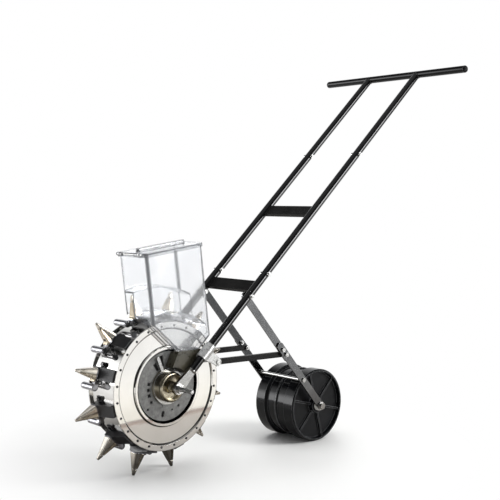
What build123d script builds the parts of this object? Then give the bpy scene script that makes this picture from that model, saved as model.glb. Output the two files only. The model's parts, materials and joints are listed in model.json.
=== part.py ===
from build123d import *
import os
from math import atan2, cos, degrees, hypot, radians, sin, sqrt

# Walk-behind seed planter: a wheel of seed beaks, a clear hopper, a push frame and a press roller.
# Sizes are in millimetres. X points back to the operator, Y to the far side and Z up.
# Pieces are drawn about the ground point under the front axle, then moved to the middle of the footprint.

# Clearances
RUN_FIT = 0.05       # radial play of a pin or shaft that turns
SEAT = 0.1           # play between round pieces fixed to each other
SLIP = 0.2           # play of a bolt in its hole
GAP = 0.5            # between faces that pass each other

# Push frame
HANDLE_HEIGHT = 998.0
HANDLE_REACH = 879.0
HANDLE_WIDTH = 512.0
PLUG_DOME = 7.0
PLUG_DEPTH = 18.0
TUBE_SPREAD = 176.0
TUBE_R = 10.0
TUBE_WALL = 1.5
SPIGOT_LENGTH = 50.0
SHOULDER = 3.0
TUBE_START = 56.0     # along the tube from the front axle
LOWER_JOINT = 395.0
UPPER_JOINT = 850.0
LOWER_CROSSBAR = 327.0
UPPER_CROSSBAR = 600.0
CROSSBAR_WIDTH = 33.0
CROSSBAR_SHEET = 3.0
CROSSBAR_LIP = 9.0
BOLT_R = 3.0
BOLT_HEAD_R = 5.4
BOLT_HEAD = 4.5
BOLT_TAIL = 3.0

# Struts, clamps and links
STRUT_BOLT = 293.0
STRUT_WIDTH = 20.0
STRUT_SHEET = 4.0
LAP_BOLT = 192.0
LINK_BOLT = 210.0
LAP_EDGE = 12.0       # from the lap's bolts to the round ends of the two struts
LINK_WIDTH = 14.0
LINK_SHEET = 8.0
CLAMP_START = 92.0
CLAMP_LENGTH = 40.0
CLAMP_WALL = 3.4
LUG_REACH = (130.0, 44.0)      # link bolt of the clamp, from the front axle
LUG_R = 10.0
ROD_R = 4.0
ROD_CLEAR = 2.9       # between the scraper rod and the roller
AXLE_LUG_SHEET = 8.0
AXLE_LUG_R = 14.0

# Spiked wheel
BEAK_COUNT = 12
DRUM_R = 145.0
DRUM_WALL = 2.0
DRUM_FLANGE = 7.0
RIM_LAP = 5.0         # from the drum out to the discs' edge
RIM_HALF = 50.0
RIM_SHEET = 3.0
RIM_BAND = 13.5
DISH = 3.5
DISC_SHEET = 2.5
SCREW_COUNT = 24
SCREW_R = 1.9
SCREW_HEAD_R = 2.7
SCREW_HEAD = 1.6
MOUTH_R = 86.0        # opening of the near disc round the seed plate
LIP_WIDTH = 6.0
LIP_RISE = 5.0
AXLE_R = 6.0
AXLE_STUB_R = 5.0
AXLE_CHAMFER = 1.0
HUB_R = 20.0
HUB_BORE = 14.0
HUB_END = 66.0
BEARING_WIDTH = 10.0

# Seed beaks, drawn with the beak pointing up and its leading side toward -X
BEAK_Y = 10.0
HOLDER_RISE = 18.0    # from the drum up to the beak's base
BEAK_REACH = 55.0     # from the beak's base to its tip
BEAK_LENGTH_T = 30.0
BEAK_WIDTH_Y = 26.0
BEAK_CORNER = 4.0
BEAK_TIP = 5.0
TIP_CORNER = 1.0
BEAK_WALL = 2.0
NOSE = 14.0
SWING_CLEAR = 1.6     # under the nose, for the edge of the moving half as it swings out
SPLIT = -1.0
HOLDER_LEAD = 13.0
HOLDER_TRAIL = 16.0
HOLDER_NEAR = 46.0
HOLDER_FAR = 14.0     # beyond the beak's middle plane
HOLDER_SLOPE = 9.0
PASSAGE = (16.0, 14.0)
FLANGE_REACH = 12.0
FLANGE_HEIGHT = 3.5
PIN_X = -18.0
PIN_DROP = 7.0        # below the beak's base
PIN_R = 2.5
KNUCKLE_R = 4.5
EAR = 4.0
BAR_X = -31.5
BAR_DROP = 4.0
BAR_R = 8.0
BAR_END = 54.0
ARM_WIDTH = 10.0

# Seed plate, hub and metering pieces
PLATE_R = 81.0
PLATE_SHEET = 4.0
PLATE_FACE = 46.0     # outer face, from the wheel's middle plane
SKIRT_R = 79.0
SKIRT_WALL = 3.0
SKIRT_DEPTH = 20.0
WINDOW_SPAN = (48.0, 74.0)     # seed window in the plate, inner and outer radius
WINDOW_ANGLES = (99.0, 109.0)
GATE_SPAN = (46.0, 66.0)       # opening under the lever
GATE_ANGLES = (117.0, 126.0)
VENT_CIRCLE = 52.0
VENT_SIZE = (9.0, 8.0)
VENT_ANGLES = (168.0, 183.0, 198.0)
PLATE_HOLES = ((0.89, 221.0, 0.037), (0.667, 216.0, 0.043), (0.58, 254.0, 0.022), (0.74, 285.0, 0.03),
               (0.753, 304.0, 0.037))      # place and radius as shares of the plate's radius, with the angle
SLOT_CIRCLE = 65.0
SLOT_SIZE = (6.0, 9.0)
SLOT_ANGLE = 260.0
HUB_FLANGE_R = 42.0
HUB_FLANGE = 4.0
BARREL_R = 35.0
BARREL_FACE = 70.0
BARREL_ROUND = 5.0
BARREL_LIP = 6.0
HUB_CUP = 11.0        # depth of the cup in the hub's face
METER_R = 73.0
METER_WIDTH = 14.0
DIVIDER_IN = 62.0
DIVIDER_SHEET = 2.0
LEVER_SHEET = 3.0
LEVER_RING = 7.0
LEVER_LENGTH = 43.0   # past the hub's barrel
LEVER_WIDTH = 8.0
LEVER_ANGLE = 113.0
AXLE_NEAR_END = 140.0
AXLE_FAR_END = 112.0
NUT_R = 10.0
NUT_HEIGHT = 8.0
WASHER = 2.0
WASHER_R = 13.0
SPACER_R = 12.0

# Hopper, in its own tilted frame: length along the tilt, up along the walls
HOPPER_TILT = 7.0
HOPPER_TOP = (5.0, 99.0)       # middle of the top edge, from the axle and above the beak tips
HOPPER_LENGTH = 166.0
HOPPER_NEAR = 73.5
HOPPER_FAR = 33.0
HOPPER_CORNER = 11.0
HOPPER_WALL = 2.5
FRONT_HEIGHT = 158.0
REAR_HEIGHT = 213.0
CHUTE_BACK = 55.0
CHUTE_SPAN = (18.0, 76.0)
ELBOW_FLARE = (4.0, 8.0)
ELBOW_DROP = 28.0
ELBOW_REAR = (60.0, 22.0)      # corners of the elbow's lower edge, from the axle
ELBOW_MIDDLE = (30.0, 30.0)
ELBOW_FRONT = (-4.0, 45.0)
SPIGOT_STEP = 2.5
CHUTE_SPIGOT = 20.0
TIP_CLEAR = 8.0
BASE_CLEAR = 8.0
BAR_CLEAR = 3.0       # from the press bars' path to the bin's far wall
STEP_CLEAR = 3.0
OVERCUT = 45.0                  # how far the cutting outlines run past the walls
HOPPER_RIM = 3.0
RIM_DEPTH = 5.0
LID_SHEET = 3.0
LID_RING = 4.0
RIDGE = (140.0, 14.0, 8.0)
LID_KNUCKLE_R = 4.5
LID_PIN_R = 2.0
LID_LUG = 10.0
LID_LUG_INSET = 10.0

# Press roller
ROLLER_X = 486.0
ROLLER_R = 95.5
ROLLER_HALF = 70.0
ROLLER_BAND = 34.0
ROLLER_VALLEY = 8.0
ROLLER_RIDGE = 4.0
ROLLER_RECESS = 12.0
ROLLER_RIM = 6.0
ROLLER_WALL = 5.0
ROLLER_HUB_R = 20.0
SPOKES = 6
SPOKE_WIDTH = 5.0
SPOKE_RISE = 6.0
SPOKE_TURN = 15.0
ROLLER_AXLE_R = 5.0
BUSH_R = 9.0
BUSH_FLANGE_R = 13.0
BUSH_DEPTH = 24.0

# Places that follow from the sizes
RIM_R = DRUM_R + RIM_LAP
BEAK_BASE = DRUM_R + HOLDER_RISE
TIP_R = BEAK_BASE + BEAK_REACH
CHUTE_FOOT = PLATE_R + GAP     # height of the chute's foot above the axle
HALF_PITCH = radians(180.0 / BEAK_COUNT)
AXLE_Z = TIP_R * cos(HALF_PITCH) + BEAK_TIP / 2 * sin(HALF_PITCH)
TUBE_Y = TUBE_SPREAD / 2
TUBE_ANGLE = atan2(HANDLE_HEIGHT - AXLE_Z, HANDLE_REACH)
TUBE_LENGTH = hypot(HANDLE_HEIGHT - AXLE_Z, HANDLE_REACH)
SPIGOT_R = TUBE_R - TUBE_WALL - SLIP
STRUT_OUT = TUBE_Y - TUBE_R
STRUT_IN = STRUT_OUT - STRUT_SHEET
LOWER_STRUT_OUT = STRUT_OUT + STRUT_SHEET
LINK_IN = STRUT_IN - LINK_SHEET
LUG_NEAR = TUBE_Y - AXLE_LUG_SHEET / 2
LUG_FAR = TUBE_Y + AXLE_LUG_SHEET / 2
DRUM_HALF = RIM_HALF - RIM_SHEET
SCREW_CIRCLE = DRUM_R - DRUM_FLANGE / 2
PIN_U = BEAK_BASE - PIN_DROP
BAR_U = BEAK_BASE - BAR_DROP
HUB_START = -PLATE_FACE + PLATE_SHEET + GAP
TOP_X = HOPPER_TOP[0]
HOPPER_RISE = TIP_R + HOPPER_TOP[1]
TOP_Z = AXLE_Z + HOPPER_RISE
TILT = radians(HOPPER_TILT)
HOPPER_DEPTH = HOPPER_NEAR + HOPPER_FAR
HOPPER_MID_Y = (HOPPER_FAR - HOPPER_NEAR) / 2
STEP_Y = BEAK_Y - BEAK_WIDTH_Y / 2 - STEP_CLEAR
HINGE_ALONG = -HOPPER_LENGTH / 2 - HOPPER_RIM - LID_KNUCKLE_R - GAP
HINGE_UP = LID_SHEET / 2
LEVER_FACE = -PLATE_FACE - HUB_FLANGE - GAP


def y_rod(radius, y0, y1, x=0.0, z=0.0):
    """Round bar along Y."""
    return Pos(x, (y0 + y1) / 2, z) * Rot(90, 0, 0) * Cylinder(radius, abs(y1 - y0))


def y_hex(radius, y0, y1, x=0.0, z=0.0):
    """Six-sided prism along Y."""
    return y_plate(Pos(x, z) * RegularPolygon(radius, 6), y0, y1)


def y_plate(outline, y0, y1):
    """Outline drawn in X and Z, made solid between two Y planes."""
    return extrude(Plane.XZ.offset(-y1) * outline, amount=y1 - y0, dir=(0, -1, 0))


def turned(*profile):
    """Body of revolution about the Y axis, from radius and Y pairs."""
    return revolve(Polygon(*profile, align=None), axis=Axis.Y)


def block(x0, x1, y0, y1, z0, z1):
    """Box between two corners."""
    return Pos((x0 + x1) / 2, (y0 + y1) / 2, (z0 + z1) / 2) * Box(x1 - x0, y1 - y0, z1 - z0)


def polar(radius, angle):
    """X and Z of a point at a radius and an angle, from the axle."""
    return radius * cos(radians(angle)), radius * sin(radians(angle))


def sector(r_in, r_out, start, stop):
    """Outline of a ring sector about the axle."""
    ring = Circle(r_out) - Circle(r_in)
    reach = 2 * r_out
    wedge = Polygon((0, 0), polar(reach, start), polar(reach, (start + stop) / 2), polar(reach, stop), align=None)
    return ring & wedge


def at_axle(shape):
    """Piece drawn about the Y axis, lifted to the front axle."""
    return Pos(0, 0, AXLE_Z) * shape


def mirrored(shape):
    """The same piece on the far side."""
    return mirror(shape, about=Plane.XZ)


def tube_point(along, up=0.0):
    """X and Z of a point along the frame tube from the front axle, and above it."""
    x = along * cos(TUBE_ANGLE) - up * sin(TUBE_ANGLE)
    return x, AXLE_Z + along * sin(TUBE_ANGLE) + up * cos(TUBE_ANGLE)


def tube_plane(along, y):
    """Plane across the frame tube, its X along the machine's Y."""
    x, z = tube_point(along)
    return Plane(origin=(x, y, z), x_dir=(0, 1, 0), z_dir=(cos(TUBE_ANGLE), 0, sin(TUBE_ANGLE)))


def tube_rod(radius, start, stop, y):
    """Round bar along the frame tube's axis."""
    return extrude(tube_plane(start, y) * Circle(radius), amount=stop - start)


def tube_hole(along, y):
    """Bolt hole through the tube along Y."""
    x, z = tube_point(along)
    return y_rod(BOLT_R + SLIP, y - 2 * TUBE_R, y + 2 * TUBE_R, x, z)


def slot_bar(start, stop, width):
    """Outline of a flat bar with round ends between two points in X and Z."""
    length = hypot(stop[0] - start[0], stop[1] - start[1])
    angle = degrees(atan2(stop[1] - start[1], stop[0] - start[0]))
    middle = Pos((start[0] + stop[0]) / 2, (start[1] + stop[1]) / 2)
    return middle * SlotCenterToCenter(length, width, rotation=angle)


def strut_point(along):
    """X and Z of a point along the strut, from its bolt on the tube toward the roller axle."""
    top = tube_point(STRUT_BOLT)
    share = along / strut_length()
    return top[0] + share * (ROLLER_X - top[0]), top[1] + share * (ROLLER_R - top[1])


def strut_length():
    """From the strut's bolt on the tube to the roller axle."""
    top = tube_point(STRUT_BOLT)
    return hypot(ROLLER_X - top[0], ROLLER_R - top[1])


def rod_place():
    """X and Z of the scraper rod, on the strut just above the roller."""
    return strut_point(strut_length() - ROLLER_R - ROD_CLEAR - ROD_R)


def hopper_point(along, up):
    """X and Z of a point in the hopper's tilted frame."""
    return TOP_X + along * cos(TILT) - up * sin(TILT), TOP_Z + along * sin(TILT) + up * cos(TILT)


def hopper_plane(up):
    """Plane level with the hopper's top edge, raised along its walls."""
    x, z = hopper_point(0, up)
    return Plane(origin=(x, 0, z), x_dir=(cos(TILT), 0, sin(TILT)), z_dir=(-sin(TILT), 0, cos(TILT)))


def hopper_slab(grow, corner, y_grow, up, height):
    """Rounded slab over the hopper's plan, grown all round and raised from a level along the walls."""
    plan = RectangleRounded(HOPPER_LENGTH + 2 * grow, HOPPER_DEPTH + 2 * y_grow, corner)
    return extrude(hopper_plane(up) * Pos(0, HOPPER_MID_Y) * plan, amount=height)


# Push frame

def handle_bar():
    end = HANDLE_WIDTH / 2 - PLUG_DOME
    bar = y_rod(TUBE_R, -end, end) - y_rod(TUBE_R - TUBE_WALL, -end, end)
    return Pos(HANDLE_REACH, 0, HANDLE_HEIGHT) * bar


def end_plugs():
    """Plug in each end of the handle bar, with a rounded head flush with the tube."""
    end = HANDLE_WIDTH / 2
    seat = end - PLUG_DOME
    head = y_rod(TUBE_R, seat, end)
    plug = fillet(head.edges().sort_by(Axis.Y)[-1], PLUG_DOME * 0.9)
    plug += y_rod(TUBE_R - TUBE_WALL - SEAT, seat - PLUG_DEPTH, seat)
    plug = Pos(HANDLE_REACH, 0, HANDLE_HEIGHT) * plug
    return [plug, mirrored(plug)]


def tube_section(start, stop, y, spigot):
    """One length of frame tube, with a swaged spigot into the length below it."""
    tube = tube_rod(TUBE_R, start, stop, y) - tube_rod(TUBE_R - TUBE_WALL, start, stop, y)
    if spigot:
        bore = SPIGOT_R - TUBE_WALL
        tube += tube_rod(TUBE_R - TUBE_WALL / 2, start, start + SHOULDER, y)
        tube += tube_rod(SPIGOT_R, start - SPIGOT_LENGTH, start + SHOULDER, y)
        tube -= tube_rod(bore, start - SPIGOT_LENGTH, start + SHOULDER, y)
        tube -= tube_hole(start - SPIGOT_LENGTH / 2, y)
    return tube


def upper_tube(y):
    tube = tube_section(UPPER_JOINT, TUBE_LENGTH, y, True)
    return tube - y_rod(TUBE_R + SEAT, y - 2 * TUBE_R, y + 2 * TUBE_R, HANDLE_REACH, HANDLE_HEIGHT)


def middle_tube(y):
    return tube_section(LOWER_JOINT, UPPER_JOINT, y, True) - tube_hole(UPPER_JOINT - SPIGOT_LENGTH / 2, y)


def lower_tube(y):
    tube = tube_section(TUBE_START, LOWER_JOINT, y, False)
    return tube - tube_hole(LOWER_JOINT - SPIGOT_LENGTH / 2, y) - tube_hole(STRUT_BOLT, y)


def crossbar(along):
    """Channel between the two tubes, its ends cut to the tubes' round."""
    half, sheet = CROSSBAR_WIDTH / 2, CROSSBAR_SHEET
    web = block(-TUBE_Y, TUBE_Y, sheet / 2 - CROSSBAR_LIP, sheet / 2, -half, half)
    inside = block(-TUBE_Y, TUBE_Y, -2 * CROSSBAR_LIP, -sheet / 2, sheet - half, half - sheet)
    bar = tube_plane(along, 0) * (web - inside)
    for y in (-TUBE_Y, TUBE_Y):
        bar -= tube_rod(TUBE_R + SEAT, along - CROSSBAR_WIDTH, along + CROSSBAR_WIDTH, y)
    return bar


def bolt(place, tail, seat, radius=BOLT_R):
    """Bolt along Y with a round head on its seat and its tail at the given Y."""
    out = 1 if seat > tail else -1
    shank = y_rod(radius, tail, seat, *place)
    return shank + y_rod(radius + BOLT_HEAD_R - BOLT_R, seat, seat + out * BOLT_HEAD, *place)


def nut(place, seat, out, radius=BOLT_R):
    """Six-sided nut on its seat, facing out along Y."""
    low, high = sorted((seat, seat + out * BOLT_HEAD))
    size = radius + BOLT_HEAD_R - BOLT_R + 0.6
    return y_hex(size, low, high, *place) - y_rod(radius + SEAT, low, high, *place)


def frame_fasteners():
    """Bolts and nuts of the frame: where each bolt passes, its nut seat and its head seat."""
    reach = BOLT_HEAD + BOLT_TAIL
    places = []
    for y in (-TUBE_Y, TUBE_Y):
        for joint in (LOWER_JOINT, UPPER_JOINT):
            places.append((tube_point(joint - SPIGOT_LENGTH / 2), y - TUBE_R, y + TUBE_R))
    for side in (-1, 1):
        places.append((tube_point(STRUT_BOLT), side * (TUBE_Y + TUBE_R), side * STRUT_IN))
        places.append((strut_point(LAP_BOLT), side * STRUT_IN, side * LOWER_STRUT_OUT))
        places.append((strut_point(LINK_BOLT), side * LINK_IN, side * LOWER_STRUT_OUT))
    bolts, nuts = [], []
    for place, nut_seat, head_seat in places:
        out = 1 if nut_seat > head_seat else -1
        bolts.append(bolt(place, nut_seat + out * reach, head_seat))
        nuts.append(nut(place, nut_seat, out))
    return bolts, nuts


def clamp_place():
    """X and Z of the link bolt on the clamp's lug."""
    return LUG_REACH[0], AXLE_Z + LUG_REACH[1]


def clamp_rivets():
    """Low-headed rivets that hold the links to the clamp lugs."""
    x, z = clamp_place()
    rivet = y_rod(BOLT_R, -STRUT_OUT, -LINK_IN, x, z)
    rivet += y_rod(BOLT_HEAD_R, -LINK_IN, -LINK_IN + BOLT_TAIL, x, z)
    rivet += y_rod(BOLT_HEAD_R, -STRUT_OUT - BOLT_TAIL, -STRUT_OUT, x, z)
    return [rivet, mirrored(rivet)]


def link_hole(place):
    return y_rod(BOLT_R + SLIP, -LOWER_STRUT_OUT - 1, -LINK_IN + 1, *place)


def tube_clamp():
    """Collar round the near tube, with a lug down to the link."""
    stop = CLAMP_START + CLAMP_LENGTH
    collar_r = TUBE_R + CLAMP_WALL
    collar = tube_rod(collar_r, CLAMP_START, stop, -TUBE_Y)
    low = tube_point(CLAMP_START + 4)
    high = tube_point(stop - 4)
    x, z = clamp_place()
    lug = Polygon(low, high, (x + LUG_R * 0.7, z + LUG_R * 0.7), (x - LUG_R * 0.7, z - LUG_R * 0.7), align=None)
    lug += Pos(x, z) * Circle(LUG_R)
    collar += y_plate(lug, -STRUT_OUT, -STRUT_IN)
    collar -= tube_rod(TUBE_R + SEAT, CLAMP_START - 40, stop + 40, -TUBE_Y)
    return collar - link_hole((x, z))


def link_bar():
    bar = y_plate(slot_bar(clamp_place(), strut_point(LINK_BOLT), LINK_WIDTH), -STRUT_IN, -LINK_IN)
    return bar - link_hole(clamp_place()) - link_hole(strut_point(LINK_BOLT))


def upper_strut():
    bar = y_plate(slot_bar(tube_point(STRUT_BOLT), strut_point(LINK_BOLT + LAP_EDGE), STRUT_WIDTH),
                  -STRUT_OUT, -STRUT_IN)
    for place in (tube_point(STRUT_BOLT), strut_point(LAP_BOLT), strut_point(LINK_BOLT)):
        bar -= link_hole(place)
    return bar


def lower_strut():
    bar = y_plate(slot_bar(strut_point(LAP_BOLT - LAP_EDGE), (ROLLER_X, ROLLER_R), STRUT_WIDTH),
                  -LOWER_STRUT_OUT, -STRUT_OUT)
    for place in (strut_point(LAP_BOLT), strut_point(LINK_BOLT)):
        bar -= link_hole(place)
    for radius, place in ((ROD_R, rod_place()), (ROLLER_AXLE_R, (ROLLER_X, ROLLER_R))):
        bar -= y_rod(radius + SLIP, -LOWER_STRUT_OUT - 1, -STRUT_OUT + 1, *place)
    return bar


def scraper_rod():
    """Round rod between the lower struts, with a shoulder inside each and a riveted head outside."""
    place = rod_place()
    rod = y_rod(ROD_R, -LOWER_STRUT_OUT, LOWER_STRUT_OUT, *place)
    for side in (-1, 1):
        rod += y_rod(ROD_R + 2, side * (STRUT_OUT - 4), side * STRUT_OUT, *place)
        rod += y_rod(ROD_R + 2, side * LOWER_STRUT_OUT, side * (LOWER_STRUT_OUT + 3), *place)
    return rod


def axle_lug():
    """Flattened end piece that plugs the near tube and takes the axle."""
    stem = TUBE_R - TUBE_WALL - SLIP
    lug = tube_rod(stem, TUBE_START - SHOULDER, TUBE_START + 30, -TUBE_Y)
    lug += tube_rod(TUBE_R, TUBE_START - SHOULDER, TUBE_START, -TUBE_Y)
    lug += y_plate(Pos(0, AXLE_Z) * Circle(AXLE_LUG_R), -LUG_FAR, -LUG_NEAR)
    arm = Polygon(tube_point(0, AXLE_LUG_R), tube_point(TUBE_START - 1, TUBE_R - 1),
                  tube_point(TUBE_START - 1, 1 - TUBE_R), tube_point(0, -AXLE_LUG_R), align=None)
    lug += y_plate(arm, -LUG_FAR, -LUG_NEAR)
    return lug - at_axle(y_rod(AXLE_R + SLIP, -LUG_FAR - 1, -LUG_NEAR + 1))


def front_axle():
    """Fixed axle through the wheel, with a thinner stub past the near nut."""
    step = LUG_FAR + WASHER + NUT_HEIGHT + 2
    rod = y_rod(AXLE_R, -step, AXLE_FAR_END)
    stub = y_rod(AXLE_STUB_R, -AXLE_NEAR_END, -step)
    ends = chamfer(stub.edges().sort_by(Axis.Y)[0], AXLE_CHAMFER)
    return at_axle(ends + chamfer(rod.edges().sort_by(Axis.Y)[-1], AXLE_CHAMFER))


def axle_nuts():
    """Nut and washer on each lug's outer face."""
    pieces = []
    for side in (-1, 1):
        face = side * LUG_FAR
        washer_end = face + side * WASHER
        nut_end = washer_end + side * NUT_HEIGHT
        bore = y_rod(AXLE_R + SEAT, face - side, nut_end + side)
        pieces.append(at_axle(y_rod(WASHER_R, face, washer_end) - bore))
        pieces.append(at_axle(y_hex(NUT_R, *sorted((washer_end, nut_end))) - bore))
    return pieces


def axle_spacers():
    """Tubes that hold the lugs off the hub on the near side and off the wheel on the far side."""
    near = y_rod(SPACER_R, -LUG_NEAR, -BARREL_FACE) - y_rod(AXLE_R + SEAT, -LUG_NEAR, -BARREL_FACE)
    far_start = HUB_END + GAP
    far = y_rod(SPACER_R, far_start, LUG_NEAR) - y_rod(AXLE_R + SEAT, far_start, LUG_NEAR)
    return [at_axle(near), at_axle(far)]


def roller_axle():
    """Long bolt through the roller, its head on the near strut."""
    head = LOWER_STRUT_OUT + WASHER
    rod = y_rod(ROLLER_AXLE_R, -head, head + BOLT_HEAD + 4)
    rod += y_hex(ROLLER_AXLE_R + 4, -head - 5, -head)
    return Pos(ROLLER_X, 0, ROLLER_R) * rod


def roller_nuts():
    """Washers on both struts and the nut on the far end."""
    head = LOWER_STRUT_OUT + WASHER
    bore = y_rod(ROLLER_AXLE_R + SEAT, -2 * head, 2 * head)
    near = y_rod(ROLLER_AXLE_R + 6, -head, -LOWER_STRUT_OUT) - bore
    far = y_rod(ROLLER_AXLE_R + 6, LOWER_STRUT_OUT, head) - bore
    end = y_hex(ROLLER_AXLE_R + 4, head, head + 6) - bore
    return [Pos(ROLLER_X, 0, ROLLER_R) * piece for piece in (near, far, end)]


# Seed feed

def seed_plate():
    """Fixed plate in the near disc's mouth, with windows, holes and the seed chamber's skirt."""
    back = PLATE_SHEET - PLATE_FACE
    plate = y_rod(PLATE_R, -PLATE_FACE, back)
    skirt = y_rod(SKIRT_R, back, back + SKIRT_DEPTH) - y_rod(SKIRT_R - SKIRT_WALL, back, back + SKIRT_DEPTH)
    openings = sector(*WINDOW_SPAN, *WINDOW_ANGLES) + sector(*GATE_SPAN, *GATE_ANGLES) + Circle(AXLE_R + SEAT)
    for angle in VENT_ANGLES:
        openings += Pos(*polar(VENT_CIRCLE, angle)) * Rectangle(*VENT_SIZE, rotation=angle)
    for share, angle, hole in PLATE_HOLES:
        openings += Pos(*polar(share * PLATE_R, angle)) * Circle(hole * PLATE_R)
    half_slot = SLOT_SIZE[0] / 2
    openings += slot_bar(polar(SLOT_CIRCLE - half_slot, SLOT_ANGLE), polar(SLOT_CIRCLE + half_slot, SLOT_ANGLE),
                         SLOT_SIZE[1])
    openings += offset(elbow_outline(), -2 * HOPPER_WALL) & Circle(SKIRT_R - SKIRT_WALL)
    return at_axle(plate + skirt - y_plate(openings, -PLATE_FACE - 1, back + 1))


def seed_hub():
    """Turned hub that clamps the seed plate to the axle: a flange and a round-edged barrel with a cup in its face."""
    root = -PLATE_FACE - HUB_FLANGE
    face = -BARREL_FACE
    cup = face + HUB_CUP
    hub = turned((AXLE_R + SEAT, -PLATE_FACE), (HUB_FLANGE_R, -PLATE_FACE), (HUB_FLANGE_R, root + 1),
                 (HUB_FLANGE_R - 1, root), (BARREL_R, root), (BARREL_R, face), (BARREL_R - BARREL_LIP, face),
                 (BARREL_R - BARREL_LIP - 1, cup), (SPACER_R + 3, cup), (SPACER_R + 2, face), (AXLE_R + SEAT, face))
    rim = hub.edges().filter_by(GeomType.CIRCLE).filter_by(lambda e: abs(e.radius - BARREL_R) < GAP)
    return at_axle(fillet(rim.sort_by(Axis.Y)[0], BARREL_ROUND))


def elbow_outline():
    """Outline of the inlet elbow in X and Z about the axle: wide under the chute, narrow at the hub."""
    left, right = CHUTE_SPAN
    edge, bulge = ELBOW_FLARE
    outline = Polygon((left - edge, CHUTE_FOOT), (right + edge, CHUTE_FOOT), (right + bulge, CHUTE_FOOT - ELBOW_DROP),
                      ELBOW_REAR, ELBOW_MIDDLE, ELBOW_FRONT, align=None)
    return outline - Circle(HUB_FLANGE_R + edge)


def inlet_elbow():
    """Duct from the chute's foot down to the window in the seed plate."""
    outline = elbow_outline()
    back = -CHUTE_BACK + GAP
    plate_part = outline & Circle(PLATE_R - 1)
    shell = y_plate(outline, -HOPPER_NEAR, back) + y_plate(plate_part, back, -PLATE_FACE)
    inside = offset(outline, -HOPPER_WALL)
    front = -HOPPER_NEAR + SPIGOT_STEP - SLIP
    rear = -CHUTE_BACK - SPIGOT_STEP + SLIP
    shell -= y_plate(inside, front, rear)
    shell -= y_plate(inside & Circle(SKIRT_R - SKIRT_WALL), front, -PLATE_FACE + 1)
    left, right = CHUTE_SPAN
    shell -= block(left + SPIGOT_STEP - SLIP, right - SPIGOT_STEP + SLIP, front, rear, CHUTE_FOOT - 30, CHUTE_FOOT + 1)
    return at_axle(shell)


def past(start, stop, extra):
    """Point beyond the second of two points, on their line."""
    length = hypot(stop[0] - start[0], stop[1] - start[1])
    share = 1 + extra / length
    return start[0] + share * (stop[0] - start[0]), start[1] + share * (stop[1] - start[1])


def hopper_profile(inset):
    """Side outline of the hopper's sloping floor in X and Z, moved in by the wall for the inside."""
    half = HOPPER_LENGTH / 2
    foot = AXLE_Z + CHUTE_FOOT
    left, right = (CHUTE_SPAN[0], foot), (CHUTE_SPAN[1], foot)
    front = past(left, hopper_point(-half, -FRONT_HEIGHT), OVERCUT)
    rear = past(right, hopper_point(half, -REAR_HEIGHT), OVERCUT)
    top = hopper_point(0, 2 * OVERCUT)[1]
    outline = Polygon((front[0], top), (rear[0], top), rear, right, left, front, align=None)
    return offset(outline, -inset) if inset else outline


def hopper_volume(inset):
    """Stepped volume of the hopper: chute outside the disc, bin over the rim, wide bin over the beak tips."""
    near = -HOPPER_NEAR - OVERCUT
    side = hopper_profile(inset)
    axle = Pos(0, AXLE_Z)
    over_rim = side - axle * Circle(BEAK_BASE + BASE_CLEAR + inset)
    over_tips = side - axle * Circle(TIP_R + TIP_CLEAR + inset)
    volume = y_plate(side, near, -CHUTE_BACK - inset)
    volume += y_plate(over_rim, near, STEP_Y - inset)
    volume += y_plate(over_tips, near, HOPPER_FAR + OVERCUT)
    top = OVERCUT if inset else 0
    return volume & hopper_slab(-inset, HOPPER_CORNER - inset, -inset, top, -HOPPER_RISE)


def far_skirt():
    """Single wall beyond the beaks' path that carries the bin's far side down to the rim."""
    bar_path = hypot(BAR_X, BAR_U) + BAR_R
    side = hopper_profile(0) - Pos(0, AXLE_Z) * Circle(bar_path + BAR_CLEAR)
    sheet = y_plate(side, HOPPER_FAR - HOPPER_WALL, HOPPER_FAR)
    return sheet & hopper_slab(0, HOPPER_CORNER, 0, 0, -HOPPER_RISE)


def chute_spigot(inset):
    """Narrow foot of the chute that plugs into the elbow."""
    foot = AXLE_Z + CHUTE_FOOT
    left, right = CHUTE_SPAN
    step = SPIGOT_STEP + inset
    return block(left + step, right - step, step - HOPPER_NEAR, -CHUTE_BACK - step, foot - CHUTE_SPIGOT - inset,
                 foot + 2 * HOPPER_WALL)


def hinge_knuckle(y0, y1, on_lid):
    """Knuckle on the hopper's front rim or on the lid, with the web that carries it."""
    x, z = hopper_point(HINGE_ALONG, HINGE_UP)
    root = -HOPPER_LENGTH / 2 - HOPPER_RIM + 1
    low, high = (GAP, LID_SHEET + GAP) if on_lid else (-RIM_DEPTH, 0)
    web = Polygon(hopper_point(HINGE_ALONG, low), hopper_point(root, low), hopper_point(root, high),
                  hopper_point(HINGE_ALONG, high), align=None)
    return y_plate(web, y0, y1) + y_rod(LID_KNUCKLE_R, y0, y1, x, z)


def lug_spans():
    """Y spans of the hopper's knuckles and of the lid's, which sit next to each other."""
    near = -HOPPER_NEAR + LID_LUG_INSET
    far = HOPPER_FAR - LID_LUG_INSET
    hopper = [(near, near + LID_LUG), (far - LID_LUG, far)]
    lid = [(near + LID_LUG + GAP, near + 2 * LID_LUG), (far - 2 * LID_LUG, far - LID_LUG - GAP)]
    return hopper, lid


def hinge_bore(radius):
    x, z = hopper_point(HINGE_ALONG, HINGE_UP)
    return y_rod(radius, -HOPPER_NEAR, HOPPER_FAR, x, z)


def seed_hopper():
    """Clear bin with stepped floor, open top with a rim, and a chute to the inlet elbow."""
    bin_body = hopper_volume(0) + far_skirt() + chute_spigot(0)
    bin_body += hopper_slab(HOPPER_RIM, HOPPER_CORNER + HOPPER_RIM, HOPPER_RIM, -RIM_DEPTH, RIM_DEPTH)
    for span in lug_spans()[0]:
        bin_body += hinge_knuckle(*span, False)
    bin_body -= hopper_volume(HOPPER_WALL) + chute_spigot(HOPPER_WALL / 2)
    return bin_body - hinge_bore(LID_PIN_R + SEAT)


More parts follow.
